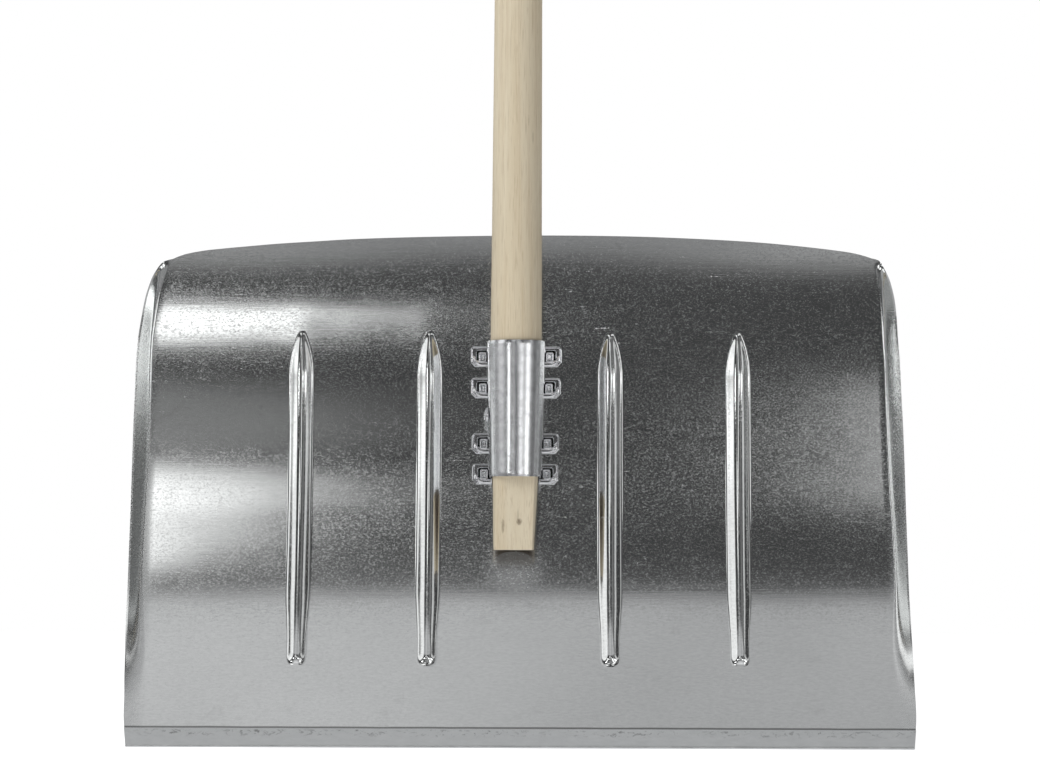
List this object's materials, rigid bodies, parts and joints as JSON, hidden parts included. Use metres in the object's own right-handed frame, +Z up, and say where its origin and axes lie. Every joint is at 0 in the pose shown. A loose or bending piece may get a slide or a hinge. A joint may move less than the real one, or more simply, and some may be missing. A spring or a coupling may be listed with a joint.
{
  "type": "snow shovel",
  "caption": "Snow shovel with a curved, ribbed aluminium blade, steel wear strip, clinched steel socket and straight wooden handle.",
  "frame": {"origin": "middle of the wear strip's lower edge, on the ground", "axes": "+Z up along the handle, +X across the blade, -Y the way the scooping side faces"},
  "size_m": [0.5554, 0.0736, 1.438],
  "materials": {
    "blade": "mill-rolled, bright",
    "wear_strip": "galvanised",
    "socket": "galvanised, satin",
    "shaft": "turned and sanded, thin clear coat",
    "socket_screw": "zinc plated"
  },
  "bodies": {
    "root": {"blade": "blade", "wear_strip": "wear_strip", "socket": "socket", "shaft": "shaft", "socket_screw": "socket_screw"}
  },
  "joints": []
}
